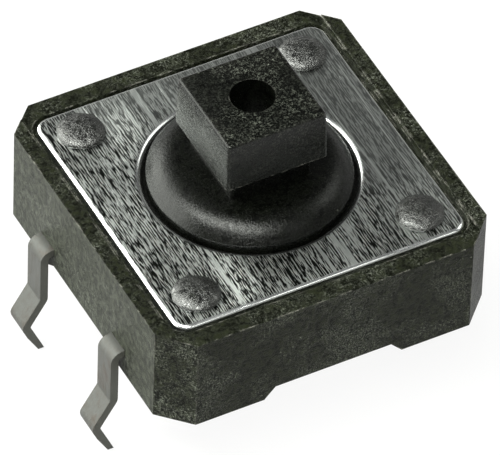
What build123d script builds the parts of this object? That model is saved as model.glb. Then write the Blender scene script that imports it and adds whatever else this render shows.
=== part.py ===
from build123d import *
import math
import os

# Through-hole tactile push button, 12 mm square, with a square actuator head.
# Units are millimetres. The origin is the middle of the board seating plane, +Z points up to the
# actuator, and the leads leave the two X sides.

# Housing
BODY_SIDE = 12.0
BODY_CORNER_CUT = 1.02
RIM_Z = 3.62
SIDE_STRIP_WIDTH = 0.5
SIDE_STRIP_RISE = 0.06
END_ARCH_HEIGHT = 0.44
END_ARCH_HALF = 2.1
SIDE_ARCH_HEIGHT = 0.28
SIDE_ARCH_HALF = 2.05
ARCH_FLARE = 0.4
FLOOR_COVER = 0.15
WELL_WALL_GAP = 0.18
WELL_STEP_BELOW_FLANGE = 0.45
SUPPORT_HOLE_RADIUS = 0.4
SUPPORT_HOLE_SPACING = 2.8

# Cover plate, held by four staked heads of the housing
PLATE_X = 10.56
PLATE_Y = 10.42
PLATE_THICKNESS = 0.3
PLATE_PROUD = 0.12
PLATE_CORNER_RADIUS = 0.55
PLATE_EDGE_ROLL = 0.12
PLATE_HOLE_CHAMFER = 0.1
PLATE_POCKET_GAP = 0.07
PLATE_HOLE_RADIUS = 3.5
STAKE_SPACING = 8.1
STAKE_SHANK_RADIUS = 0.5
STAKE_HEAD_RADIUS = 0.8
STAKE_HEAD_EDGE = 0.07
STAKE_HEAD_RISE = 0.2

# Plunger: round base, shallow crown, narrow neck and square head
PLUNGER_TOP_Z = 7.3
PLUNGER_HOLE_GAP = 0.13
PLUNGER_SHOULDER_Z = 4.42
PLUNGER_SHOULDER_RADIUS = 0.4
CROWN_RISE = 0.22
FLANGE_OVERLAP = 0.22
FLANGE_THICKNESS = 0.6
FLANGE_TOP_GAP = 0.02
KEY_WIDTH = 1.2
KEY_REACH = 0.55
KEY_GAP = 0.1
HEAD_SIDE = 3.66
HEAD_HEIGHT = 1.88
HEAD_DRAFT = 1.2
HEAD_EDGE_RADIUS = 0.15
HEAD_TOP_RADIUS = 0.1
NECK_SIDE = 2.9
NECK_EDGE_RADIUS = 0.12
HEAD_BORE_RADIUS = 0.74
HEAD_BORE_DEPTH = 1.5
NUB_RADIUS = 0.9
NUB_GAP = 0.03

# Contacts: two stampings, each with a lead on both sides, and a snap dome
STRIP_THICKNESS = 0.28
STRIP_TOP_Z = 1.05
LEAD_WIDTH = 0.92
LEAD_PITCH_Y = 5.0
LEAD_STANDOFF = 0.34
LEAD_BEND_RADIUS = 0.3
LEAD_STRAIGHT_END_Z = -1.15
LEAD_KNEE_OUT = 0.64
LEAD_KNEE_Z = -2.2
LEAD_KNEE_RADIUS = 0.25
LEAD_TIP_IN = 0.66
LEAD_TIP_Z = -3.7
LEAD_TIP_WIDTH = 0.56
LEAD_TIP_ROUND = 0.22
LEAD_TIP_THINNED = 0.1
LEAD_TIP_THINNED_LENGTH = 1.1
CONTACT_HEIGHT = 0.25
CENTRE_PAD_RADIUS = 0.75
TONGUE_WIDTH = 0.9
ARM_WIDTH = 0.8
DIMPLE_ANGLE = 17.0
DIMPLE_RADIUS = 0.25
DOME_RADIUS = 3.3
DOME_SEAT_INSET = 0.22
DOME_RISE = 0.4
DOME_THICKNESS = 0.1
DOME_WELL_GAP = 0.1

# Levels and radii that follow from the sizes above
HALF_BODY = BODY_SIDE / 2
TOP_Z = RIM_Z + SIDE_STRIP_RISE
PLATE_TOP_Z = RIM_Z + PLATE_PROUD
PLATE_BOTTOM_Z = PLATE_TOP_Z - PLATE_THICKNESS
CONTACT_Z = STRIP_TOP_Z + CONTACT_HEIGHT
FLOOR_Z = STRIP_TOP_Z + FLOOR_COVER
PLUNGER_RADIUS = PLATE_HOLE_RADIUS - PLUNGER_HOLE_GAP
FLANGE_RADIUS = PLATE_HOLE_RADIUS + FLANGE_OVERLAP
FLANGE_TOP_Z = PLATE_BOTTOM_Z - FLANGE_TOP_GAP
FLANGE_BOTTOM_Z = FLANGE_TOP_Z - FLANGE_THICKNESS
WELL_RADIUS = FLANGE_RADIUS + WELL_WALL_GAP
DOME_WELL_RADIUS = DOME_RADIUS + DOME_WELL_GAP
HEAD_BOTTOM_Z = PLUNGER_TOP_Z - HEAD_HEIGHT
DOME_TOP_Z = CONTACT_Z + DOME_RISE
LEAD_Y = LEAD_PITCH_Y / 2


def block(size_x, size_y, z_low, z_high):
    """A rectangular block centred on the Z axis between two levels."""
    return Pos(0, 0, z_low) * extrude(Rectangle(size_x, size_y), z_high - z_low)


def disc(radius, z_low, z_high, x=0.0, y=0.0):
    """A round block between two levels."""
    return Pos(x, y, z_low) * extrude(Circle(radius), z_high - z_low)


def mirror_pairs(x, y):
    """The four places at plus and minus x and y."""
    return [(sx * x, sy * y) for sx in (-1, 1) for sy in (-1, 1)]


def arch(plane, half_width, height):
    """A shallow channel under the whole body, with flared sides."""
    foot = half_width + ARCH_FLARE
    outline = Polyline((-foot, 0), (-half_width, height), (half_width, height), (foot, 0), close=True)
    return extrude(plane * make_face(outline), HALF_BODY, both=True)


def staked_head(x, y):
    """The shank through the plate and the low domed head formed over it."""
    shank = disc(STAKE_SHANK_RADIUS, PLATE_BOTTOM_Z, PLATE_TOP_Z, x, y)
    edge_z = PLATE_TOP_Z + STAKE_HEAD_EDGE
    edge = disc(STAKE_HEAD_RADIUS, PLATE_TOP_Z, edge_z, x, y)
    ball_radius = (STAKE_HEAD_RADIUS**2 + STAKE_HEAD_RISE**2) / (2 * STAKE_HEAD_RISE)
    ball = Pos(x, y, edge_z + STAKE_HEAD_RISE - ball_radius) * Sphere(ball_radius)
    over = disc(STAKE_HEAD_RADIUS, edge_z, edge_z + 2 * STAKE_HEAD_RISE, x, y)
    return shank + edge + (ball & over)


def base_housing(frames):
    """The moulded base: rim, plate pocket, stepped well, keyways, corner feet and staked heads."""
    outline = chamfer(Rectangle(BODY_SIDE, BODY_SIDE).vertices(), BODY_CORNER_CUT)
    body = extrude(outline, TOP_Z)
    body -= block(BODY_SIDE - 2 * SIDE_STRIP_WIDTH, BODY_SIDE, RIM_Z, TOP_Z)
    pocket = RectangleRounded(
        PLATE_X + 2 * PLATE_POCKET_GAP,
        PLATE_Y + 2 * PLATE_POCKET_GAP,
        PLATE_CORNER_RADIUS + PLATE_POCKET_GAP,
    )
    body -= Pos(0, 0, PLATE_BOTTOM_Z) * extrude(pocket, TOP_Z - PLATE_BOTTOM_Z)
    step_z = FLANGE_BOTTOM_Z - WELL_STEP_BELOW_FLANGE
    body -= disc(DOME_WELL_RADIUS, FLOOR_Z, step_z)
    body -= disc(WELL_RADIUS, step_z, PLATE_BOTTOM_Z)
    keyway_length = 2 * (FLANGE_RADIUS + KEY_REACH + KEY_GAP)
    body -= block(KEY_WIDTH + 2 * KEY_GAP, keyway_length, step_z, PLATE_BOTTOM_Z)
    body -= arch(Plane.XZ, END_ARCH_HALF, END_ARCH_HEIGHT)
    body -= arch(Plane.YZ, SIDE_ARCH_HALF, SIDE_ARCH_HEIGHT)
    for x, y in mirror_pairs(SUPPORT_HOLE_SPACING / 2, LEAD_Y):
        body -= disc(SUPPORT_HOLE_RADIUS, 0, STRIP_TOP_Z, x, y)
    for x, y in mirror_pairs(STAKE_SPACING / 2, STAKE_SPACING / 2):
        body += staked_head(x, y)
    for frame in frames:
        body -= frame
    return body


def cover_plate():
    """The pressed sheet over the rim, with a rolled edge, the plunger's hole and four stake holes."""
    outline = RectangleRounded(PLATE_X, PLATE_Y, PLATE_CORNER_RADIUS)
    plate = Pos(0, 0, PLATE_BOTTOM_Z) * extrude(outline, PLATE_THICKNESS)
    plate = fillet(plate.faces().sort_by(Axis.Z)[-1].edges(), PLATE_EDGE_ROLL)
    plate -= disc(PLATE_HOLE_RADIUS, PLATE_BOTTOM_Z, PLATE_TOP_Z)
    circles = plate.edges().filter_by(GeomType.CIRCLE)
    hole_edges = circles.filter_by(lambda edge: math.isclose(edge.radius, PLATE_HOLE_RADIUS))
    plate = chamfer(hole_edges.sort_by(Axis.Z)[-1], PLATE_HOLE_CHAMFER)
    for x, y in mirror_pairs(STAKE_SPACING / 2, STAKE_SPACING / 2):
        plate -= disc(STAKE_SHANK_RADIUS, PLATE_BOTTOM_Z, PLATE_TOP_Z, x, y)
    return plate


def plunger_base():
    """The round base with its rounded shoulder and shallow crown, made as one turned shape."""
    shoulder = PLUNGER_RADIUS - PLUNGER_SHOULDER_RADIUS
    side_top_z = PLUNGER_SHOULDER_Z - PLUNGER_SHOULDER_RADIUS
    arc_mid = PLUNGER_SHOULDER_RADIUS * math.sqrt(0.5)
    crown_radius = (shoulder**2 + CROWN_RISE**2) / (2 * CROWN_RISE)
    crown_mid_x = shoulder / 2
    crown_drop = crown_radius - math.sqrt(crown_radius**2 - crown_mid_x**2)
    apex_z = PLUNGER_SHOULDER_Z + CROWN_RISE
    side = Polyline(
        (0, apex_z),
        (0, FLANGE_BOTTOM_Z),
        (FLANGE_RADIUS, FLANGE_BOTTOM_Z),
        (FLANGE_RADIUS, FLANGE_TOP_Z),
        (PLUNGER_RADIUS, FLANGE_TOP_Z),
        (PLUNGER_RADIUS, side_top_z),
    )
    round_off = ThreePointArc(
        (PLUNGER_RADIUS, side_top_z),
        (shoulder + arc_mid, side_top_z + arc_mid),
        (shoulder, PLUNGER_SHOULDER_Z),
    )
    crown = ThreePointArc(
        (shoulder, PLUNGER_SHOULDER_Z),
        (crown_mid_x, apex_z - crown_drop),
        (0, apex_z),
    )
    profile = Plane.XZ * make_face([*side.edges(), *round_off.edges(), *crown.edges()])
    return revolve(profile, Axis.Z)


def plunger():
    """The actuator: keyed flange under the plate, crown, neck, square head and the nub on the dome."""
    body = plunger_base()
    key_length = 2 * (FLANGE_RADIUS + KEY_REACH)
    body += block(KEY_WIDTH, key_length, FLANGE_BOTTOM_Z, FLANGE_TOP_Z)
    body += disc(NUB_RADIUS, DOME_TOP_Z + NUB_GAP, FLANGE_BOTTOM_Z)
    neck = RectangleRounded(NECK_SIDE, NECK_SIDE, NECK_EDGE_RADIUS)
    body += Pos(0, 0, FLANGE_BOTTOM_Z) * extrude(neck, HEAD_BOTTOM_Z - FLANGE_BOTTOM_Z)
    head_foot = Pos(0, 0, HEAD_BOTTOM_Z) * Rectangle(HEAD_SIDE, HEAD_SIDE)
    head = extrude(head_foot, HEAD_HEIGHT, taper=HEAD_DRAFT)
    upright = head.edges().group_by(Axis.Z)[1]
    head = fillet(upright, HEAD_EDGE_RADIUS)
    head = fillet(head.faces().sort_by(Axis.Z)[-1].edges(), HEAD_TOP_RADIUS)
    body += head
    body -= disc(HEAD_BORE_RADIUS, PLUNGER_TOP_Z - HEAD_BORE_DEPTH, PLUNGER_TOP_Z)
    return body


def snap_dome():
    """The thin spring dome that stands on the rim contact's dimples."""
    outer = (DOME_RADIUS**2 + DOME_RISE**2) / (2 * DOME_RISE)
    centre = Pos(0, 0, CONTACT_Z + DOME_RISE - outer)
    shell = centre * Sphere(outer) - centre * Sphere(outer - DOME_THICKNESS)
    return shell & disc(DOME_RADIUS, CONTACT_Z, DOME_TOP_Z + DOME_THICKNESS)


def lead(side):
    """One bent lead: out of the side wall, down, and kinked outwards to snap into the board."""
    strip_mid_z = STRIP_TOP_Z - STRIP_THICKNESS / 2
    run_x = HALF_BODY + LEAD_STANDOFF
    knee_x = run_x + LEAD_KNEE_OUT
    points = [
        (HALF_BODY - LEAD_STANDOFF, strip_mid_z),
        (run_x, strip_mid_z),
        (run_x, LEAD_STRAIGHT_END_Z),
        (knee_x, LEAD_KNEE_Z),
        (knee_x - LEAD_TIP_IN, LEAD_TIP_Z),
    ]
    radii = [LEAD_BEND_RADIUS, LEAD_KNEE_RADIUS, LEAD_KNEE_RADIUS]
    path = FilletPolyline(*[(side * x, 0, z) for x, z in points], radius=radii)
    section = Plane((side * points[0][0], 0, strip_mid_z), z_dir=(side, 0, 0))
    strip = sweep(section * Rectangle(LEAD_WIDTH, STRIP_THICKNESS, rotation=section_turn(section)), path)
    return (strip & lead_outline()) - tip_thinning(side, points[-2], points[-1])


def lead_outline():
    """The lead's outline along X: parallel down to the knee, then drawn in to a rounded tip."""
    half = LEAD_WIDTH / 2
    half_tip = LEAD_TIP_WIDTH / 2
    outline = make_face(
        Polyline(
            (-half, 2 * STRIP_TOP_Z),
            (half, 2 * STRIP_TOP_Z),
            (half, LEAD_KNEE_Z),
            (half_tip, LEAD_TIP_Z),
            (-half_tip, LEAD_TIP_Z),
            (-half, LEAD_KNEE_Z),
            close=True,
        )
    )
    outline = fillet(outline.vertices().sort_by(Axis.Y)[:2], LEAD_TIP_ROUND)
    return extrude(Plane.YZ * outline, 2 * HALF_BODY, both=True)


def tip_thinning(side, knee, tip):
    """The sliver that is pressed away from the outer face, so that the lead gets thinner to its tip."""
    run = math.dist(knee, tip)
    down_x = (tip[0] - knee[0]) / run
    down_z = (tip[1] - knee[1]) / run

    def off_tip(out, back):
        x = tip[0] - out * down_z - back * down_x
        z = tip[1] + out * down_x - back * down_z
        return side * x, z

    face = STRIP_THICKNESS / 2
    sliver = make_face(
        Polyline(
            off_tip(face, LEAD_TIP_THINNED_LENGTH),
            off_tip(face - LEAD_TIP_THINNED, 0),
            off_tip(face - LEAD_TIP_THINNED, -STRIP_THICKNESS),
            off_tip(STRIP_THICKNESS, -STRIP_THICKNESS),
            off_tip(STRIP_THICKNESS, LEAD_TIP_THINNED_LENGTH),
            close=True,
        )
    )
    return extrude(Plane.XZ * sliver, LEAD_WIDTH, both=True)


def section_turn(plane):
    """The turn that lays a rectangle's first side along Y on a plane that faces along X."""
    return 0.0 if abs(plane.x_dir.Y) > abs(plane.x_dir.Z) else 90.0


def contact_strip():
    """The flat run across the housing with a lead at each end, centred on the X axis."""
    strip_low = STRIP_TOP_Z - STRIP_THICKNESS
    strip = block(BODY_SIDE - LEAD_STANDOFF, LEAD_WIDTH, strip_low, STRIP_TOP_Z)
    return strip + lead(-1) + lead(1)


def centre_contact_frame():
    """The stamping whose tongue carries the centre contact, with the back pair of leads."""
    strip_low = STRIP_TOP_Z - STRIP_THICKNESS
    tongue = Pos(0, LEAD_Y / 2, 0) * block(TONGUE_WIDTH, LEAD_Y, strip_low, STRIP_TOP_Z)
    pad = disc(CENTRE_PAD_RADIUS, strip_low, CONTACT_Z)
    return Pos(0, LEAD_Y, 0) * contact_strip() + tongue + pad


def rim_contact_frame():
    """The stamping whose two arms and four dimples carry the dome's rim, with the front leads."""
    strip_low = STRIP_TOP_Z - STRIP_THICKNESS
    seat_radius = DOME_RADIUS - DOME_SEAT_INSET
    dimple_x = seat_radius * math.cos(math.radians(DIMPLE_ANGLE))
    dimple_y = seat_radius * math.sin(math.radians(DIMPLE_ANGLE))
    arm_length = LEAD_Y + dimple_y + ARM_WIDTH / 2
    frame = Pos(0, -LEAD_Y, 0) * contact_strip()
    for side in (-1, 1):
        arm = block(ARM_WIDTH, arm_length, strip_low, STRIP_TOP_Z)
        frame += Pos(side * dimple_x, arm_length / 2 - LEAD_Y, 0) * arm
    for x, y in mirror_pairs(dimple_x, dimple_y):
        frame += disc(DIMPLE_RADIUS, strip_low, CONTACT_Z, x, y)
    return frame


def main():
    centre_frame = centre_contact_frame()
    rim_frame = rim_contact_frame()
    parts = {
        "base_housing": base_housing([centre_frame, rim_frame]),
        "cover_plate": cover_plate(),
        "plunger": plunger(),
        "snap_dome": snap_dome(),
        "centre_contact_frame": centre_frame,
        "rim_contact_frame": rim_frame,
    }
    for name, shape in parts.items():
        export_step(shape, f"parts/{name}.step")


os.makedirs("parts", exist_ok=True)
main()
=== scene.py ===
"""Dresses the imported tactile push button: builds its visible pieces and finishes, and lights it in a small studio.

Lengths are in metres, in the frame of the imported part. The origin is the middle of the board seating plane, +Z points
up to the square head, and the leads leave the two X sides.
"""

import math

import bmesh
import bpy
from bpy.props import FloatProperty, FloatVectorProperty, IntProperty, PointerProperty
from bpy.types import Operator, Panel, PropertyGroup
from mathutils import Matrix, Vector


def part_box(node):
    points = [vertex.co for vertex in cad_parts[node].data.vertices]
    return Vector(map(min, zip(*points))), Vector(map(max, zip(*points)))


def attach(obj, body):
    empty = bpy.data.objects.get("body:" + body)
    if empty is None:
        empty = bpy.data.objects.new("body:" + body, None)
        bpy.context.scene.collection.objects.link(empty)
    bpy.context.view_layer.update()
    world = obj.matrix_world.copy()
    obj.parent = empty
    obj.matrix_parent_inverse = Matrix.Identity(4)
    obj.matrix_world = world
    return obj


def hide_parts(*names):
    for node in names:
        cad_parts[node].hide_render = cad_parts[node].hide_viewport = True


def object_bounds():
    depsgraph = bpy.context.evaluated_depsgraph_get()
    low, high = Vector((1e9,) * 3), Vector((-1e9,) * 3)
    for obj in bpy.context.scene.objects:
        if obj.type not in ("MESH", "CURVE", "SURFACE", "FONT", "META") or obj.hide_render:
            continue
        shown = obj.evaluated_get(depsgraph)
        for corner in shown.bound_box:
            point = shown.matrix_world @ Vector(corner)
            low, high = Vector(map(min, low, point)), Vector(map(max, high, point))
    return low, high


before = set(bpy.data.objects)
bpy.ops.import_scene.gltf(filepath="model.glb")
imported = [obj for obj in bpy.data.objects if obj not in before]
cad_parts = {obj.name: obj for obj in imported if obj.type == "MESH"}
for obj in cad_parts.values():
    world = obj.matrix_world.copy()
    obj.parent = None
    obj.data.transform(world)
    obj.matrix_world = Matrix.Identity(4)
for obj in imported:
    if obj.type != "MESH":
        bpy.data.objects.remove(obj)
CAD_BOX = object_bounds()

bl_info = {
    "name": "Tactile Push Button",
    "version": (1, 0, 0),
    "blender": (4, 5, 0),
    "location": "View3D > Sidebar > Push Button",
    "description": "Builds and finishes a board-mounted tactile push button on its packed frame",
    "category": "Object",
}

MM = 0.001
# Coordinates closer than a hair are the same, and joined blocks run into each other by the overlap
HAIR = 0.01 * MM
OVERLAP = 0.1 * MM
SHOULDER_STEPS = 14
# The shoulder's drop grows with this power of the way out, so it stays flat for long and then falls steeply
SHOULDER_POWER = 3.2
LIP_STEPS = 6
CROWN_STEPS = 6
STAKE_SIDES = 64
SUPPORT_HOLE_SIDES = 32
SMOOTH_ANGLE = math.radians(32)
SHARP_ANGLE = math.radians(40)
# Turn in radians from one stake head to the next, so that no two show the same side
STAKE_TURN = 1.9
# Radius and height of each ring, as shares of a stake head's own
STAKE_PROFILE = (
    (0.9, -0.5),
    (0.94, 0.0),
    (1.0, 0.16),
    (1.0, 0.3),
    (0.97, 0.44),
    (0.9, 0.6),
    (0.8, 0.74),
    (0.66, 0.86),
    (0.48, 0.95),
    (0.28, 1.0),
    (0.1, 1.02),
)
PHOTO_WIDTH = 500
PHOTO_FOCAL_PIXELS = 9687.5
SENSOR_WIDTH = 36.0
BEVEL_SAMPLES = 6
# Radii of the plastic's rubbed edges and of the leads' soft edges
WORN_EDGE = 0.09 * MM
LEAD_EDGE = 0.05 * MM
# Share of a plastic's dark tone that is left in the hollows of its mottle
DEEP_SHARE = 0.25
# How far a face points left or front where its dust, a painted side tone, starts to change, and where it is full
# Shaded side: the plunger head's left and front faces lose dust as painted shade
SHADED_SIDE = (-0.4, -0.9)
# Lit side: the pale dusty tone laid on the housing's left faces as painted light
LIT_SIDE = (-0.8, -0.98)
# Millimetres round the bore over which the dust fades in; the bore is kept free of dust as painted shade
BORE_MARGIN = 0.03
# Heights in millimetres over which the head's dust fades out; the neck and crown below keep little, as painted shade
NECK_SHADE_FADE = (5.1, 5.3)
# Outward Z between the plate's flat and its rolled edges
LIP_FACING = (0.995, 0.93)
# Distance in millimetres from a stake's middle at which the dip in the plate starts, and is deepest
STAKE_DIP = (2.2, 0.7)
# Radians of fine ruling in a millimetre across and along the plate, and how far the sheet's clouds sway it
RULING = (72.0, 1.5, 9.0)
LIT_POINT = (0.0, 0.0, 2 * MM)
LAMP_COLOUR = (0.97, 1.0, 0.93)
# Name, width and height, direction from the part, and distance of each lamp
LAMPS = (
    ("key", (0.9, 0.5), (-0.73, 0.66, 0.33), 0.6),
    ("top", (0.6, 0.12), (-0.42, -0.19, 0.885), 0.5),
    ("back", (0.4, 0.14), (-0.32, 0.58, 0.75), 0.5),
    ("fill", (0.14, 0.1), (0.34, -0.72, 0.61), 0.45),
    ("rim", (0.28, 0.22), (0.8, -0.04, 0.6), 0.5),
)
# How white the floor looks, where 1 is white
FLOOR_GLOW = 0.9

HOUSING_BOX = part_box("base_housing")
PLATE_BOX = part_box("cover_plate")
PLUNGER_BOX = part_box("plunger")


def length(name, description, default):
    """A distance in metres that shows in the scene's own unit."""
    return FloatProperty(
        name=name, description=description, default=default, min=0.0, unit="LENGTH", subtype="DISTANCE", precision=6
    )


def shade(name, description, default):
    """A colour that shows as a swatch."""
    return FloatVectorProperty(
        name=name, description=description, default=default, size=3, min=0.0, max=1.0, subtype="COLOR"
    )


def bearing(name, description, degrees):
    """An angle, given in degrees."""
    return FloatProperty(name=name, description=description, default=math.radians(degrees), subtype="ANGLE")


def watts(name, description, default):
    """The power of a lamp."""
    return FloatProperty(name=name, description=description, default=default, min=0.0, subtype="POWER")


# Sizes and colours that a user would change


class HousingSizes(PropertyGroup):
    side: length("Side", "Width of the square body", HOUSING_BOX[1][0] - HOUSING_BOX[0][0])
    corner_cut: length("Corner cut", "Leg of the flat across each upright corner", 1.02 * MM)
    rim_height: length("Rim height", "Height of the rim over the board", PLATE_BOX[1][2] - 0.08 * MM)
    strip_width: length("Strip width", "Width of the raised strip along the two lead sides", 0.5 * MM)
    strip_rise: length("Strip rise", "Height of the raised strips over the rim", 0.06 * MM)
    pocket_gap: length("Pocket gap", "Gap round the cover plate", 0.13 * MM)
    well_radius: length("Well radius", "Radius of the well that the plunger runs in", 3.9 * MM)
    well_floor: length("Well floor", "Height of the well's step over the board", 2.37 * MM)
    dome_well_radius: length("Dome well radius", "Radius of the lower well round the snap dome", 3.4 * MM)
    dome_well_floor: length("Dome well floor", "Height of the floor under the snap dome", 1.2 * MM)
    keyway_width: length("Keyway width", "Width of the slot for the plunger's two keys", 1.4 * MM)
    end_arch_half: length("End arch half width", "Half width of the relief under the two plain sides", 2.1 * MM)
    end_arch_height: length("End arch height", "Height of the relief under the two plain sides", 0.44 * MM)
    side_arch_half: length("Side arch half width", "Half width of the relief under the two lead sides", 2.05 * MM)
    side_arch_height: length("Side arch height", "Height of the relief under the two lead sides", 0.28 * MM)
    arch_flare: length("Arch flare", "Run of the slope at each end of a relief", 0.4 * MM)
    support_hole_radius: length("Support hole radius", "Radius of the moulding pin holes underneath", 0.4 * MM)
    support_hole_x: length("Support hole X", "Distance of the moulding pin holes from the middle along X", 1.4 * MM)
    support_hole_y: length("Support hole Y", "Distance of the moulding pin holes from the middle along Y", 2.5 * MM)
    support_hole_top: length("Support hole top", "Height of the moulding pin holes' blind ends", 0.9 * MM)
    edge_round: length("Edge rounding", "Radius of the moulded edges", 0.1 * MM)


class StakeSizes(PropertyGroup):
    spacing: length("Spacing", "Distance between neighbouring stakes", 8.1 * MM)
    radius: length("Head radius", "Radius of a melted stake head", 0.8 * MM)
    height: length("Head height", "Height of a melted stake head over the plate", 0.32 * MM)
    melt_scale: length("Melt scale", "Width of the lumps in the melted surface", 0.4 * MM)
    unevenness: length("Unevenness", "How far the melted surface wanders", 0.07 * MM)


class PlateSizes(PropertyGroup):
    corner_radius: length("Corner radius", "Radius of the plate's corners", 0.55 * MM)
    edge_roll: length("Edge roll", "Radius of the sheared and rolled outer edge", 0.17 * MM)
    hole_radius: length("Hole radius", "Radius of the hole that the plunger comes through", 3.47 * MM)
    hole_roll: length("Hole roll", "Radius of the lip round the plunger's hole", 0.27 * MM)


class PlungerSizes(PropertyGroup):
    base_radius: length("Base radius", "Radius of the round base", 3.37 * MM)
    wall_height: length("Wall height", "Height of the upright wall's crisp edge over the board", 3.92 * MM)
    wall_edge: length("Wall edge rounding", "Radius of the crisp edge of the wall", 0.09 * MM)
    shoulder_width: length("Shoulder width", "Width of the soft shoulder inside the wall", 1.3 * MM)
    shoulder_rise: length("Shoulder rise", "Rise of the soft shoulder", 0.6 * MM)
    crown_rise: length("Crown rise", "Rise of the shallow crown inside the shoulder", 0.08 * MM)
    flange_top: length("Flange top", "Height of the flange's upper face over the board", 3.42 * MM)
    flange_thickness: length("Flange thickness", "Thickness of the flange under the cover plate", 0.6 * MM)
    head_side: length("Head side", "Width of the square head at its foot", 3.66 * MM)
    head_top_side: length("Head top side", "Width of the square head at its top", 3.56 * MM)
    head_height: length("Head height", "Height of the square head", 1.88 * MM)
    head_edge: length("Head edge rounding", "Radius of the head's upright edges", 0.13 * MM)
    head_top_edge: length("Head top rounding", "Radius of the edges round the head's top", 0.09 * MM)
    neck_side: length("Neck side", "Width of the square neck under the head", 2.9 * MM)
    neck_edge: length("Neck edge rounding", "Radius of the neck's upright edges", 0.12 * MM)
    neck_foot: length("Neck foot", "How far the neck flares out at the crown", 0.04 * MM)
    nub_radius: length("Nub radius", "Radius of the nub that presses the dome", 0.9 * MM)
    key_width: length("Key width", "Width of the two keys of the flange", 1.2 * MM)
    bore_radius: length("Bore radius", "Radius of the hole in the head", 0.74 * MM)
    bore_depth: length("Bore depth", "Depth of the hole in the head", 1.5 * MM)


class FinishColours(PropertyGroup):
    housing_dark: shade("Housing dark", "Deep olive black of the housing", (0.0095, 0.0112, 0.0052))
    plunger_dark: shade("Plunger dark", "Deep black of the plunger and the stakes", (0.0022, 0.0026, 0.0018))
    # The dusty tone is also laid on the housing's left faces as painted light
    plastic_pale: shade("Plastic pale", "Dusty tone of the black plastic", (0.126, 0.133, 0.112))
    plastic_worn: shade("Plastic worn", "Rubbed edges of the black plastic", (0.3, 0.29, 0.26))
    steel_bright: shade("Steel bright", "Bright lines of the cover plate", (0.95, 0.98, 0.96))
    steel_lip: shade("Steel lip", "Rolled edges of the cover plate", (0.93, 0.94, 0.95))
    steel_dark: shade("Steel dark", "Dark lines of the cover plate", (0.022, 0.024, 0.022))
    tin_pale: shade("Tin pale", "Clean tin plating on the leads", (0.066, 0.067, 0.063))
    tin_stained: shade("Tin stained", "Stained tin plating on the leads", (0.05, 0.04, 0.032))
    sheared: shade("Sheared edge", "Cut edges of the leads", (0.045, 0.045, 0.038))
    floor: shade("Floor", "Studio floor", (0.86, 0.86, 0.86))


class StudioSettings(PropertyGroup):
    camera_azimuth: bearing("Camera azimuth", "Turn of the camera about Z", -29.150)
    camera_tilt: bearing("Camera tilt", "Tilt of the camera up from straight down", 44.112)
    camera_roll: bearing("Camera roll", "Roll of the camera about its own axis", 2.106)
    camera_place: FloatVectorProperty(
        name="Camera place",
        description="Where the camera stands",
        default=(-106.440 * MM, -190.997 * MM, 226.794 * MM),
        subtype="TRANSLATION",
        precision=6,
    )
    key_power: watts("Key power", "Power of the large low light at the back left", 9.2)
    top_power: watts("Top power", "Power of the narrow light high on the left", 5.7)
    back_power: watts("Back power", "Power of the narrow light high at the back", 0.28)
    fill_power: watts("Fill power", "Power of the small light at the front", 0.08)
    rim_power: watts("Rim power", "Power of the light on the right", 0.4)
    horizon: shade("Horizon", "Soft light of the surroundings at the horizon", (0.4, 0.41, 0.38))
    overhead: shade("Overhead", "Soft light of the surroundings overhead", (0.125, 0.128, 0.125))
    floor_width: length("Floor width", "Width of the studio floor", 3.0)
    curve_steps: IntProperty(name="Curve steps", description="Sides of a full circle", default=128, min=32)


# Shader expressions


class Signal:
    """A node's output that Python's arithmetic adds Math nodes to."""

    def __init__(self, finish, socket):
        self.finish = finish
        self.socket = socket

    def _maths(self, operation, *values):
        return self.finish.node("ShaderNodeMath", {"operation": operation}, *values)

    def __add__(self, other):
        return self._maths("ADD", self, other)

    def __sub__(self, other):
        return self._maths("SUBTRACT", self, other)

    def __rsub__(self, other):
        return self._maths("SUBTRACT", other, self)

    def __mul__(self, other):
        return self._maths("MULTIPLY", self, other)

    def __pow__(self, other):
        return self._maths("POWER", self, other)

    __radd__ = __add__
    __rmul__ = __mul__

    def size(self):
        return self._maths("ABSOLUTE", self)

    def wave(self):
        return self._maths("SINE", self)

    def least(self, other):
        return self._maths("MINIMUM", self, other)

    def most(self, other):
        return self._maths("MAXIMUM", self, other)

    def between(self, low, high):
        """0 below low, 1 above high, and a smooth step between them. With low over high it runs the other way."""
        flipped = low > high
        start, end = (high, low) if flipped else (low, high)
        inputs = {"Value": self, "From Min": start, "From Max": end}
        step = self.finish.node("ShaderNodeMapRange", {"interpolation_type": "SMOOTHSTEP"}, inputs)
        return 1.0 - step if flipped else step


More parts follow.
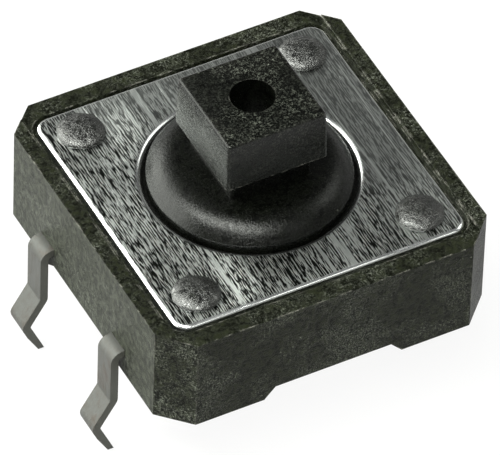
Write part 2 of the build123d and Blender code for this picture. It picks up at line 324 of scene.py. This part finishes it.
class Finish:
    """One procedural material on a Principled shader."""

    def __init__(self, name):
        self.material = bpy.data.materials.new(name)
        self.material.use_nodes = True
        self.tree = self.material.node_tree
        self.shader = next(node for node in self.tree.nodes if node.type == "BSDF_PRINCIPLED")
        self.place = self.node("ShaderNodeTexCoord", {}, output="Object")

    def node(self, kind, settings, *values, output=0):
        """Adds a node, applies its settings, then sets or links its inputs, in order or as a dict names them."""
        made = self.tree.nodes.new(kind)
        for key, value in settings.items():
            setattr(made, key, value)
        named = dict(enumerate(values))
        if values and isinstance(values[0], dict):
            named = values[0]
        for key, value in named.items():
            self.join(made.inputs[key], value)
        return Signal(self, made.outputs[output])

    def join(self, socket, value):
        if isinstance(value, Signal):
            self.tree.links.new(value.socket, socket)
        else:
            socket.default_value = value

    def fixed(self, **constants):
        """Sets the shader's constants on its own sockets."""
        for key, value in constants.items():
            self.shader.inputs[key].default_value = value

    def feed(self, name, value):
        self.join(self.shader.inputs[name], value)

    def turned(self, stretch=(1.0, 1.0, 1.0), turn=0.0):
        """Object coordinates in millimetres, turned about Z, then stretched for the pattern's grain."""
        still = {"Vector": self.place, "Scale": (1.0 / MM,) * 3, "Rotation": (0.0, 0.0, turn)}
        millimetres = self.node("ShaderNodeMapping", {}, still)
        return self.node("ShaderNodeMapping", {}, {"Vector": millimetres, "Scale": stretch})

    def noise(self, per_mm, detail=3.0, roughness=0.6, distortion=0.0, where=None):
        """Cloudy noise from 0 to 1 with about so many spots in a millimetre."""
        place = where or self.turned()
        inputs = {"Vector": place, "Scale": per_mm, "Detail": detail, "Roughness": roughness, "Distortion": distortion}
        return self.node("ShaderNodeTexNoise", {}, inputs)

    def cells(self, per_mm):
        """Distance to the nearest of scattered points."""
        return self.node("ShaderNodeTexVoronoi", {}, {"Vector": self.turned(), "Scale": per_mm})

    def parts_of(self, vector):
        """The X, Y and Z of a vector as three signals."""
        split = self.node("ShaderNodeSeparateXYZ", {}, vector).socket.node
        return [Signal(self, output) for output in split.outputs]

    def facing(self):
        """The X, Y and Z of the surface's outward direction."""
        return self.parts_of(self.node("ShaderNodeNewGeometry", {}, output="Normal"))

    def blend(self, factor, first, second):
        """A colour between two colours."""
        tones = [tone if isinstance(tone, Signal) else (*tone, 1.0) for tone in (first, second)]
        inputs = {"Factor": factor, 6: tones[0], 7: tones[1]}
        return self.node("ShaderNodeMix", {"data_type": "RGBA"}, inputs, output=2)

    def rounded(self, radius):
        """The surface's outward direction, with its edges softened by a radius."""
        return self.node("ShaderNodeBevel", {"samples": BEVEL_SAMPLES}, {"Radius": radius})

    def worn_edge(self, radius):
        """About 0 on flats, and more on edges the sharper they are for the radius."""
        true = self.node("ShaderNodeNewGeometry", {}, output="True Normal")
        product = {"operation": "DOT_PRODUCT"}
        alike = self.node("ShaderNodeVectorMath", product, self.rounded(radius), true, output="Value")
        return (1.0 - alike) * 4.0

    def relief(self, height, rounding=0.0):
        """Bumps the surface by a height in millimetres, on edges softened by a small radius."""
        inputs = {"Height": height, "Distance": MM, "Strength": 1.0}
        if rounding:
            inputs["Normal"] = self.rounded(rounding)
        return self.node("ShaderNodeBump", {}, inputs)

    def put_on(self, *pieces):
        for piece in pieces:
            piece.data.materials.clear()
            piece.data.materials.append(self.material)


def black_plastic(
    name, dark, colours, *, grain_per_mm, roughness, ior, dust, rubbed, waves=1.0, painted_left_light=0.0, bore=None
):
    """Moulded black plastic: mottled, speckled with dust, and rubbed pale on its edges.

    Waves scales the slow swell of the surface. The share for the left side lays the pale dusty tone on left faces
    as painted light. With a bore, given by its radius in millimetres, wear lies on the head alone, and dust is kept
    almost off the neck, the crown, the bore and the head's left and front faces, which stay dark as painted shade.
    """
    finish = Finish(name)
    mottle = finish.noise(4.0, detail=5.0, roughness=0.78).between(0.4, 0.6)
    grain = finish.noise(grain_per_mm, detail=2.0, roughness=0.7)
    speckle = finish.noise(grain_per_mm * 0.8, detail=3.0, roughness=0.9)
    cloud = finish.noise(0.5, detail=5.0, roughness=0.65, distortion=0.4)
    fleck = finish.cells(2.3).between(0.09, 0.04) * finish.noise(0.7).between(0.56, 0.64)
    rubbing = finish.noise(1.7, detail=3.0).between(0.45, 0.6) * (0.3 + finish.noise(9.0, detail=3.0).between(0.4, 0.6))
    wear = finish.worn_edge(WORN_EDGE) * rubbing * rubbed
    dust_and_painted_light = speckle.between(0.5, 0.66) * (0.1 + cloud.between(0.42, 0.62) * (0.3 + mottle * 0.6)) * dust
    # Painted shade: the neck, the crown and the bore keep almost no dust, and the head's left and front faces less
    if bore:
        x, y, z = finish.parts_of(finish.turned())
        from_axis = (x * x + y * y) ** 0.5
        outside_painted_shade = z.between(*NECK_SHADE_FADE) * from_axis.between(bore, bore + BORE_MARGIN)
        left, front = (side.between(*SHADED_SIDE) for side in finish.facing()[:2])
        painted_side_shade = front * 0.75 + left * 0.85
        dust_and_painted_light = dust_and_painted_light * (0.04 + outside_painted_shade * 0.96) * (1.0 - painted_side_shade)
        wear = wear * outside_painted_shade
    # Painted light: the pale dusty tone on left-facing faces
    if painted_left_light:
        left = finish.facing()[0].between(*LIT_SIDE)
        dust_and_painted_light = dust_and_painted_light.most(left * (0.4 + mottle * 0.6) * painted_left_light)
    deep = tuple(part * DEEP_SHARE for part in dark)
    tone = finish.blend(mottle, deep, dark)
    tone = finish.blend(dust_and_painted_light.most(fleck), tone, colours.plastic_pale)
    tone = finish.blend(wear.least(0.8), tone, colours.plastic_worn)
    finish.feed("Base Color", tone)
    finish.feed("Roughness", roughness + speckle.between(0.35, 0.65) * 0.14 - cloud.between(0.4, 0.7) * 0.05)
    finish.feed("Normal", finish.relief((grain + speckle) * 0.003 + (mottle * 0.009 + cloud * 0.05) * waves))
    finish.fixed(IOR=ior)
    return finish


def brushed_steel(colours, spacing):
    """The cover plate: straight rolling lines along Y broken into dashes, dips round the stakes, and bright lips."""
    finish = Finish("brushed_cover_steel")
    x, y = finish.parts_of(finish.turned())[:2]
    lip = finish.facing()[2].between(*LIP_FACING)
    lines = finish.noise(26.0, detail=1.0, roughness=0.6, where=finish.turned(stretch=(1.0, 0.012, 1.0)))
    dashes = finish.noise(28.0, detail=1.0, roughness=0.6, where=finish.turned(stretch=(1.0, 0.1, 1.0), turn=0.02))
    scratch = finish.noise(5.0, detail=2.0, where=finish.turned(stretch=(1.0, 0.02, 1.0))).between(0.61, 0.65)
    calm = (x * 0.5 + y * 0.5 + finish.noise(0.5, detail=2.0) * 3.0).between(0.6, 3.4)
    sheet = finish.noise(0.35, detail=2.0, distortion=0.5)
    reach = spacing / MM / 2
    from_stake = ((x.size() - reach) ** 2 + (y.size() - reach) ** 2) ** 0.5
    dip = from_stake.between(*STAKE_DIP)
    across, along, sway = RULING
    ruling = (x * across + y * along + sheet * sway).wave()
    bright = (lines * 0.35 + dashes * 0.65 + ruling * 0.035).between(0.475, 0.545)
    bright = (bright * (1.0 - calm * 0.6) + calm * 0.25).most(scratch * 0.9)
    tone = finish.blend(bright, colours.steel_dark, colours.steel_bright)
    finish.feed("Base Color", finish.blend(lip, tone, colours.steel_lip))
    finish.feed("Roughness", 0.24 + sheet * 0.16 - lip * 0.1)
    streaks = (lines * 0.006 + dashes * 0.008) * (1.0 - lip)
    bow = x * x * 0.007
    finish.feed("Normal", finish.relief(streaks + sheet * 0.05 - dip * 0.13 - bow))
    finish.fixed(Metallic=1.0)
    return finish


def tinned_strip(colours):
    """Dull tin plating with a few stains, and darker cut edges."""
    finish = Finish("dull_tinned_strip")
    side_y = finish.facing()[1]
    cut = side_y.size().between(0.55, 0.85)
    stain = finish.noise(1.1, detail=4.0, distortion=0.6).between(0.5, 0.7)
    grain = finish.noise(9.0, detail=3.0, where=finish.turned(stretch=(1.0, 1.0, 0.15)))
    tone = finish.blend(stain * 0.7 + grain.between(0.4, 0.7) * 0.3, colours.tin_pale, colours.tin_stained)
    tone = finish.blend(cut, tone, colours.sheared)
    finish.feed("Base Color", tone)
    finish.feed("Metallic", 0.4 - cut * 0.2)
    finish.feed("Roughness", 0.5 + grain * 0.14 + cut * 0.1)
    finish.feed("Normal", finish.relief(grain * 0.006 + stain * 0.006, LEAD_EDGE))
    return finish


def spring_steel(colours):
    """Bright rolled spring steel for the hidden dome."""
    finish = Finish("spring_dome_steel")
    grain = finish.noise(8.0, detail=3.0, where=finish.turned(stretch=(0.1, 1.0, 1.0)))
    finish.feed("Base Color", finish.blend(grain, colours.steel_dark, colours.steel_bright))
    finish.feed("Roughness", 0.25 + grain * 0.15)
    finish.feed("Normal", finish.relief(grain * 0.003))
    finish.fixed(Metallic=1.0)
    return finish


# Modelling helpers


def start_clean():
    """Leaves edit mode and deselects everything, as the CAD nodes come in selected."""
    if bpy.context.object and bpy.context.object.mode != "OBJECT":
        bpy.ops.object.mode_set(mode="OBJECT")
    bpy.ops.object.select_all(action="DESELECT")


def take(piece):
    """Makes a piece the active one, and the only one selected."""
    start_clean()
    piece.select_set(True)
    bpy.context.view_layer.objects.active = piece


def apply(piece, modifier):
    take(piece)
    bpy.ops.object.modifier_apply(modifier=modifier.name)


def settle(name):
    """Names the new piece and moves its place and size into its mesh."""
    bpy.ops.object.transform_apply(location=True, rotation=True, scale=True)
    piece = bpy.context.object
    piece.name = name
    piece.data.name = name
    return piece


def add_block(name, size_x, size_y, low, high):
    """A block centred on the Z axis between two heights."""
    start_clean()
    middle = (0.0, 0.0, (low + high) / 2)
    bpy.ops.mesh.primitive_cube_add(size=1.0, location=middle, scale=(size_x, size_y, high - low))
    return settle(name)


def add_round(name, radius, low, high, sides, x=0.0, y=0.0):
    """A round block between two heights."""
    start_clean()
    middle = (x, y, (low + high) / 2)
    bpy.ops.mesh.primitive_cylinder_add(vertices=sides, radius=radius, depth=high - low, location=middle)
    return settle(name)


def add_turned(name, rings, sides):
    """A turned solid about the Z axis through rings of radius and height, from its lowest to its highest."""
    start_clean()
    radius, height = rings[0]
    bpy.ops.mesh.primitive_circle_add(vertices=sides, radius=radius, fill_type="NGON", location=(0.0, 0.0, height))
    piece = settle(name)
    enter_edit(piece, "FACE")
    bpy.ops.mesh.select_all(action="SELECT")
    for (last, low), (radius, high) in zip(rings, rings[1:]):
        bpy.ops.mesh.extrude_region_move(TRANSFORM_OT_translate={"value": (0.0, 0.0, high - low)})
        bpy.ops.transform.resize(value=(radius / last, radius / last, 1.0), center_override=(0.0, 0.0, high))
    bpy.ops.mesh.select_all(action="SELECT")
    bpy.ops.mesh.normals_make_consistent(inside=False)
    leave_edit()
    return piece


def enter_edit(piece, kind):
    """Goes to edit mode for one kind of element with nothing selected, and gives the mesh to select in."""
    take(piece)
    bpy.ops.object.mode_set(mode="EDIT")
    bpy.ops.mesh.select_mode(type=kind)
    bpy.ops.mesh.select_all(action="DESELECT")
    return bmesh.from_edit_mesh(piece.data)


def pick_edges(piece, test):
    """Goes to edit mode with the edges selected whose two ends pass the test."""
    mesh = enter_edit(piece, "EDGE")
    for edge in mesh.edges:
        if test(edge.verts[0].co, edge.verts[1].co):
            edge.select_set(True)
    bmesh.update_edit_mesh(piece.data)


def pick_faces(piece, test):
    """Goes to edit mode with the faces selected whose middle and direction pass the test."""
    mesh = enter_edit(piece, "FACE")
    for face in mesh.faces:
        if test(face.calc_center_median(), face.normal):
            face.select_set(True)
    bmesh.update_edit_mesh(piece.data)


def leave_edit():
    bpy.ops.object.mode_set(mode="OBJECT")


def near(a, b):
    return abs(a - b) < HAIR


def upright(first, second):
    """True for an edge that runs along Z."""
    return near(first.x, second.x) and near(first.y, second.y) and not near(first.z, second.z)


def level_with(height):
    """A test for edges that lie flat at a height."""
    return lambda first, second: near(first.z, height) and near(second.z, height)


def round_edges(piece, test, radius, segments):
    pick_edges(piece, test)
    bpy.ops.mesh.bevel(offset_type="OFFSET", offset=radius, segments=segments, profile=0.5, affect="EDGES")
    leave_edit()


def combine(piece, other, operation):
    """Cuts, or joins, the other piece into this one, and deletes the other."""
    modifier = piece.modifiers.new(operation.title(), "BOOLEAN")
    modifier.operation = operation
    modifier.solver = "MANIFOLD"
    modifier.object = other
    apply(piece, modifier)
    bpy.data.objects.remove(other)


def soften(piece, radius, segments, sharp_from):
    """Rounds every edge sharper than the angle with a bevel that is applied."""
    modifier = piece.modifiers.new("Edges", "BEVEL")
    modifier.width = radius
    modifier.segments = segments
    modifier.limit_method = "ANGLE"
    modifier.angle_limit = sharp_from
    apply(piece, modifier)


def smooth(piece, angle=SMOOTH_ANGLE):
    """Shades a piece smooth, apart from edges sharper than the angle."""
    take(piece)
    bpy.ops.object.shade_smooth_by_angle(angle=angle)


def keep_flats(piece):
    """Gives large flat faces straight shading up to their rounded edges."""
    modifier = piece.modifiers.new("Flats", "WEIGHTED_NORMAL")
    modifier.keep_sharp = True
    apply(piece, modifier)


def four_places(half_x, half_y):
    """The corners of a rectangle round the Z axis."""
    return [(x, y) for x in (-half_x, half_x) for y in (-half_y, half_y)]


# Pieces


def arch_cutter(name, half_width, height, flare, run, along_x):
    """A bar with sloped sides that cuts the relief under the body.

    It reaches as far under the board plane as over it, so its underside is flared twice as far.
    """
    wide = 2 * half_width
    size = (run, wide) if along_x else (wide, run)
    cutter = add_block(name, *size, -height, height)
    spread = (wide + 4 * flare) / wide
    pick_faces(cutter, lambda middle, normal: normal.z < -0.9)
    value = (1.0, spread, 1.0) if along_x else (spread, 1.0, 1.0)
    bpy.ops.transform.resize(value=value, center_override=(0.0, 0.0, -height))
    leave_edit()
    return cutter


class BUTTON_OT_housing(Operator):
    """Model the moulded housing with its rim, plate pocket, wells and feet"""

    bl_idname = "button.housing"
    bl_label = "Build Housing"

    def execute(self, context):
        sizes = context.scene.button_housing
        plate = context.scene.button_plate
        colours = context.scene.button_colours
        steps = context.scene.button_studio.curve_steps
        top = sizes.rim_height + sizes.strip_rise
        above = 2 * top
        body = add_block("moulded_housing", sizes.side, sizes.side, 0.0, top)
        round_edges(body, upright, sizes.corner_cut, 1)
        trough = add_block("trough", sizes.side - 2 * sizes.strip_width, 2 * sizes.side, sizes.rim_height, above)
        combine(body, trough, "DIFFERENCE")
        plate_x, plate_y = (PLATE_BOX[1][axis] - PLATE_BOX[0][axis] for axis in (0, 1))
        gap = sizes.pocket_gap
        pocket = add_block("pocket", plate_x + 2 * gap, plate_y + 2 * gap, PLATE_BOX[0][2], above)
        round_edges(pocket, upright, plate.corner_radius + gap, 8)
        combine(body, pocket, "DIFFERENCE")
        well = add_round("well", sizes.well_radius, sizes.well_floor, above, steps)
        combine(body, well, "DIFFERENCE")
        dome_well = add_round("dome_well", sizes.dome_well_radius, sizes.dome_well_floor, above, steps)
        combine(body, dome_well, "DIFFERENCE")
        keyway = add_block("keyway", sizes.keyway_width, PLUNGER_BOX[1][1] * 2 + 2 * gap, sizes.well_floor, above)
        combine(body, keyway, "DIFFERENCE")
        run = 2 * sizes.side
        for half, height, along_x in (
            (sizes.end_arch_half, sizes.end_arch_height, False),
            (sizes.side_arch_half, sizes.side_arch_height, True),
        ):
            combine(body, arch_cutter("arch", half, height, sizes.arch_flare, run, along_x), "DIFFERENCE")
        for x, y in four_places(sizes.support_hole_x, sizes.support_hole_y):
            hole = add_round("hole", sizes.support_hole_radius, -top, sizes.support_hole_top, SUPPORT_HOLE_SIDES, x, y)
            combine(body, hole, "DIFFERENCE")
        soften(body, sizes.edge_round, 3, SHARP_ANGLE)
        smooth(body)
        keep_flats(body)
        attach(body, "housing")
        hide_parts("base_housing")
        finish = black_plastic(
            "moulded_black_plastic",
            colours.housing_dark,
            colours,
            grain_per_mm=20.0,
            roughness=0.34,
            ior=1.18,
            dust=1.1,
            rubbed=0.55,
            # Painted light: the pale dusty tone on the housing's left faces
            painted_left_light=0.25,
        )
        finish.put_on(body)
        return {"FINISHED"}


class BUTTON_OT_stakes(Operator):
    """Model the four melted stake heads that hold the cover plate"""

    bl_idname = "button.stakes"
    bl_label = "Build Stake Heads"

    def execute(self, context):
        sizes = context.scene.button_stakes
        colours = context.scene.button_colours
        plate_top = PLATE_BOX[1][2]
        rings = [(sizes.radius * wide, sizes.height * high) for wide, high in STAKE_PROFILE]
        first = add_turned("stake_head_1", rings, STAKE_SIDES)
        clouds = bpy.data.textures.new("melt", "CLOUDS")
        clouds.noise_scale = sizes.melt_scale
        lumps = first.modifiers.new("Melt", "DISPLACE")
        lumps.texture = clouds
        lumps.texture_coords = "LOCAL"
        lumps.strength = sizes.unevenness
        apply(first, lumps)
        heads = [first]
        for number in (2, 3, 4):
            copy = first.copy()
            copy.data = first.data.copy()
            copy.name = copy.data.name = f"stake_head_{number}"
            context.collection.objects.link(copy)
            heads.append(copy)
        finish = black_plastic(
            "melted_black_plastic",
            colours.plunger_dark,
            colours,
            grain_per_mm=18.0,
            roughness=0.18,
            ior=1.9,
            dust=0.3,
            rubbed=0.1,
        )
        half = sizes.spacing / 2
        for number, (head, (x, y)) in enumerate(zip(heads, four_places(half, half))):
            turn = Matrix.Rotation(number * STAKE_TURN, 4, "Z")
            head.data.transform(Matrix.Translation((x, y, plate_top)) @ turn)
            smooth(head, math.pi)
            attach(head, "housing")
            finish.put_on(head)
        return {"FINISHED"}


class BUTTON_OT_plate(Operator):
    """Model the pressed cover plate with its rolled edges and the plunger's hole"""

    bl_idname = "button.plate"
    bl_label = "Build Cover Plate"

    def execute(self, context):
        sizes = context.scene.button_plate
        stakes = context.scene.button_stakes
        steps = context.scene.button_studio.curve_steps
        low, high = PLATE_BOX
        plate = add_block("pressed_cover_plate", high[0] - low[0], high[1] - low[1], low[2], high[2])
        round_edges(plate, upright, sizes.corner_radius, 10)
        round_edges(plate, level_with(high[2]), sizes.edge_roll, 5)
        wide = sizes.hole_radius + sizes.hole_roll
        rings = [(sizes.hole_radius, low[2] - MM)]
        for step in range(LIP_STEPS + 1):
            angle = math.pi / 2 * step / LIP_STEPS
            inward = sizes.hole_roll * math.cos(angle)
            rings.append((wide - inward, high[2] - sizes.hole_roll * (1 - math.sin(angle))))
        rings.append((wide, high[2] + MM))
        combine(plate, add_turned("hole", rings, steps), "DIFFERENCE")
        smooth(plate)
        keep_flats(plate)
        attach(plate, "housing")
        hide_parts("cover_plate")
        brushed_steel(context.scene.button_colours, stakes.spacing).put_on(plate)
        return {"FINISHED"}


class BUTTON_OT_plunger(Operator):
    """Model the plunger: keyed flange, crowned base, neck and square drilled head"""

    bl_idname = "button.plunger"
    bl_label = "Build Plunger"

    def execute(self, context):
        sizes = context.scene.button_plunger
        colours = context.scene.button_colours
        steps = context.scene.button_studio.curve_steps
        top = PLUNGER_BOX[1][2]
        flange_low = sizes.flange_top - sizes.flange_thickness
        base = add_turned("keyed_plunger", self.base_rings(sizes, flange_low), steps)
        key = add_block("key", sizes.key_width, PLUNGER_BOX[1][1] * 2, flange_low, sizes.flange_top)
        combine(base, key, "UNION")
        combine(base, self.neck(sizes, top), "UNION")
        combine(base, self.head(sizes, top, steps), "UNION")
        smooth(base)
        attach(base, "plunger")
        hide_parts("plunger")
        finish = black_plastic(
            "satin_black_plastic",
            colours.plunger_dark,
            colours,
            grain_per_mm=16.0,
            roughness=0.2,
            ior=1.34,
            dust=0.95,
            rubbed=0.3,
            waves=0.3,
            bore=sizes.bore_radius / MM,
        )
        finish.put_on(base)
        return {"FINISHED"}

    def base_rings(self, sizes, flange_low):
        """Nub, flange, round wall with a crisp edge, and the soft shoulder that runs on into the shallow crown."""
        rings = [
            (sizes.nub_radius, PLUNGER_BOX[0][2]),
            (sizes.nub_radius, flange_low),
            (PLUNGER_BOX[1][0], flange_low),
            (PLUNGER_BOX[1][0], sizes.flange_top),
            (sizes.base_radius, sizes.flange_top),
            (sizes.base_radius, sizes.wall_height - sizes.wall_edge),
        ]
        for angle in (math.radians(degrees) for degrees in (15, 30, 45)):
            inside = sizes.base_radius - sizes.wall_edge * (1 - math.cos(angle))
            edge_top = sizes.wall_height - sizes.wall_edge * (1 - math.sin(angle))
            rings.append((inside, edge_top))
        flat = inside - sizes.shoulder_width
        top = edge_top + sizes.shoulder_rise
        for step in range(1, SHOULDER_STEPS):
            share = 1 - step / SHOULDER_STEPS
            rings.append((flat + sizes.shoulder_width * share, top - sizes.shoulder_rise * share**SHOULDER_POWER))
        for step in range(1, CROWN_STEPS):
            share = step / CROWN_STEPS
            rings.append((flat * (1 - share), top + sizes.crown_rise * share * (2 - share)))
        return rings

    def neck(self, sizes, top):
        """The square neck, which flares out a little where it meets the crown."""
        foot = sizes.wall_height
        flare_top = foot + sizes.shoulder_rise + sizes.crown_rise + sizes.neck_foot
        neck = add_block("neck", sizes.neck_side, sizes.neck_side, foot, top - sizes.head_height + OVERLAP)
        round_edges(neck, upright, sizes.neck_edge, 3)
        enter_edit(neck, "FACE")
        bpy.ops.mesh.select_all(action="SELECT")
        bpy.ops.mesh.bisect(plane_co=(0.0, 0.0, flare_top), plane_no=(0.0, 0.0, 1.0))
        leave_edit()
        pick_faces(neck, lambda middle, normal: normal.z < -0.9)
        spread = 1.0 + 4 * sizes.neck_foot / sizes.neck_side
        bpy.ops.transform.resize(value=(spread, spread, 1.0), center_override=(0.0, 0.0, foot))
        leave_edit()
        return neck

    def head(self, sizes, top, steps):
        """The square head, drawn in towards its top, with the round blind hole."""
        bottom = top - sizes.head_height
        head = add_block("head", sizes.head_side, sizes.head_side, bottom, top)
        pick_faces(head, lambda middle, normal: normal.z > 0.9)
        draft = sizes.head_top_side / sizes.head_side
        bpy.ops.transform.resize(value=(draft, draft, 1.0), center_override=(0.0, 0.0, top))
        leave_edit()
        round_edges(head, lambda first, second: not near(first.z, second.z), sizes.head_edge, 4)
        round_edges(head, level_with(top), sizes.head_top_edge, 3)
        bore = add_round("bore", sizes.bore_radius, top - sizes.bore_depth, top + MM, steps // 2)
        combine(head, bore, "DIFFERENCE")
        return head


class BUTTON_OT_metalwork(Operator):
    """Finish the contact frames with their leads, and the snap dome"""

    bl_idname = "button.metalwork"
    bl_label = "Finish Leads and Dome"

    def execute(self, context):
        colours = context.scene.button_colours
        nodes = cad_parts
        tinned_strip(colours).put_on(nodes["centre_contact_frame"], nodes["rim_contact_frame"])
        spring_steel(colours).put_on(nodes["snap_dome"])
        return {"FINISHED"}


class BUTTON_OT_studio(Operator):
    """Lay the floor, light the part softly and set the camera"""

    bl_idname = "button.studio"
    bl_label = "Build Studio"

    def execute(self, context):
        settings = context.scene.button_studio
        self.floor(context, settings)
        self.world(context, settings)
        for name, size, direction, distance in LAMPS:
            self.light(f"{name}_light", getattr(settings, f"{name}_power"), size, direction, distance)
        self.camera(context, settings)
        context.scene.view_settings.view_transform = "Standard"
        return {"FINISHED"}

    def floor(self, context, settings):
        start_clean()
        bpy.ops.mesh.primitive_plane_add(size=settings.floor_width, location=(0.0, 0.0, CAD_BOX[0][2]))
        floor = settle("studio_floor")
        finish = Finish("pale_floor")
        finish.feed("Base Color", (*context.scene.button_colours.floor, 1.0))
        finish.feed("Roughness", 0.9)
        seen = finish.node("ShaderNodeLightPath", {}, output="Is Camera Ray")
        glow = finish.node("ShaderNodeEmission", {}, {"Color": (1.0, 1.0, 1.0, 1.0), "Strength": 1.0})
        shiny = finish.node("ShaderNodeLightPath", {}, output="Is Glossy Ray")
        clear = finish.node("ShaderNodeLightPath", {}, output="Is Transmission Ray")
        matt = Signal(finish, finish.shader.outputs[0])
        mix = finish.node("ShaderNodeMixShader", {}, seen.most(shiny).most(clear) * FLOOR_GLOW, matt, glow)
        output = next(node for node in finish.tree.nodes if node.type == "OUTPUT_MATERIAL")
        finish.join(output.inputs[0], mix)
        finish.put_on(floor)

    def world(self, context, settings):
        """Soft light, paler at the horizon than overhead."""
        world = bpy.data.worlds.new("soft_studio")
        world.use_nodes = True
        context.scene.world = world
        tree = world.node_tree
        place = tree.nodes.new("ShaderNodeTexCoord")
        split = tree.nodes.new("ShaderNodeSeparateXYZ")
        ramp = tree.nodes.new("ShaderNodeValToRGB")
        ramp.color_ramp.elements[0].position = 0.0
        ramp.color_ramp.elements[0].color = (*settings.horizon, 1.0)
        ramp.color_ramp.elements[1].position = 0.5
        ramp.color_ramp.elements[1].color = (*settings.overhead, 1.0)
        background = next(node for node in tree.nodes if node.type == "BACKGROUND")
        tree.links.new(place.outputs["Generated"], split.inputs[0])
        tree.links.new(split.outputs["Z"], ramp.inputs[0])
        tree.links.new(ramp.outputs[0], background.inputs["Color"])

    def light(self, name, power, size, direction, distance):
        """A soft panel that faces the part from a direction."""
        middle = Vector(LIT_POINT)
        place = middle + Vector(direction).normalized() * distance
        start_clean()
        bpy.ops.object.light_add(type="AREA", location=place)
        lamp = bpy.context.object
        lamp.name = name
        lamp.rotation_euler = (middle - place).to_track_quat("-Z", "Y").to_euler()
        lamp.data.shape = "RECTANGLE"
        lamp.data.size, lamp.data.size_y = size
        lamp.data.energy = power
        lamp.data.color = LAMP_COLOUR

    def camera(self, context, settings):
        start_clean()
        bpy.ops.object.camera_add(location=settings.camera_place)
        camera = bpy.context.object
        camera.name = "photo_camera"
        turn = Matrix.Rotation(settings.camera_azimuth, 4, "Z")
        tilt = Matrix.Rotation(settings.camera_tilt, 4, "X")
        roll = Matrix.Rotation(settings.camera_roll, 4, "Z")
        camera.rotation_euler = (turn @ tilt @ roll).to_euler()
        camera.data.sensor_width = SENSOR_WIDTH
        camera.data.lens = PHOTO_FOCAL_PIXELS / PHOTO_WIDTH * SENSOR_WIDTH
        camera.data.clip_start = 0.01
        camera.data.clip_end = 20.0
        camera.data.dof.use_dof = False
        context.scene.camera = camera


class BUTTON_PT_panel(Panel):
    """Lists the operators, and the sizes and colours, in the sidebar"""

    bl_label = "Push Button"
    bl_idname = "BUTTON_PT_panel"
    bl_space_type = "VIEW_3D"
    bl_region_type = "UI"
    bl_category = "Push Button"

    def draw(self, context):
        layout = self.layout
        for operator in OPERATORS:
            layout.operator(operator.bl_idname)
        for name, group in GROUPS.items():
            box = layout.box()
            box.label(text=name.replace("_", " ").title())
            for key in group.__annotations__:
                box.prop(getattr(context.scene, name), key)


GROUPS = {
    "button_housing": HousingSizes,
    "button_stakes": StakeSizes,
    "button_plate": PlateSizes,
    "button_plunger": PlungerSizes,
    "button_colours": FinishColours,
    "button_studio": StudioSettings,
}
OPERATORS = (
    BUTTON_OT_housing,
    BUTTON_OT_stakes,
    BUTTON_OT_plate,
    BUTTON_OT_plunger,
    BUTTON_OT_metalwork,
    BUTTON_OT_studio,
)


def register():
    for group in GROUPS.values():
        bpy.utils.register_class(group)
    for operator in OPERATORS:
        bpy.utils.register_class(operator)
    bpy.utils.register_class(BUTTON_PT_panel)
    for name, group in GROUPS.items():
        setattr(bpy.types.Scene, name, PointerProperty(type=group))


def unregister():
    for name in GROUPS:
        delattr(bpy.types.Scene, name)
    bpy.utils.unregister_class(BUTTON_PT_panel)
    for operator in reversed(OPERATORS):
        bpy.utils.unregister_class(operator)
    for group in reversed(GROUPS.values()):
        bpy.utils.unregister_class(group)


def main():
    register()
    bpy.ops.button.housing()
    bpy.ops.button.stakes()
    bpy.ops.button.plate()
    bpy.ops.button.plunger()
    bpy.ops.button.metalwork()
    bpy.ops.button.studio()


if __name__ == "__main__":
    main()
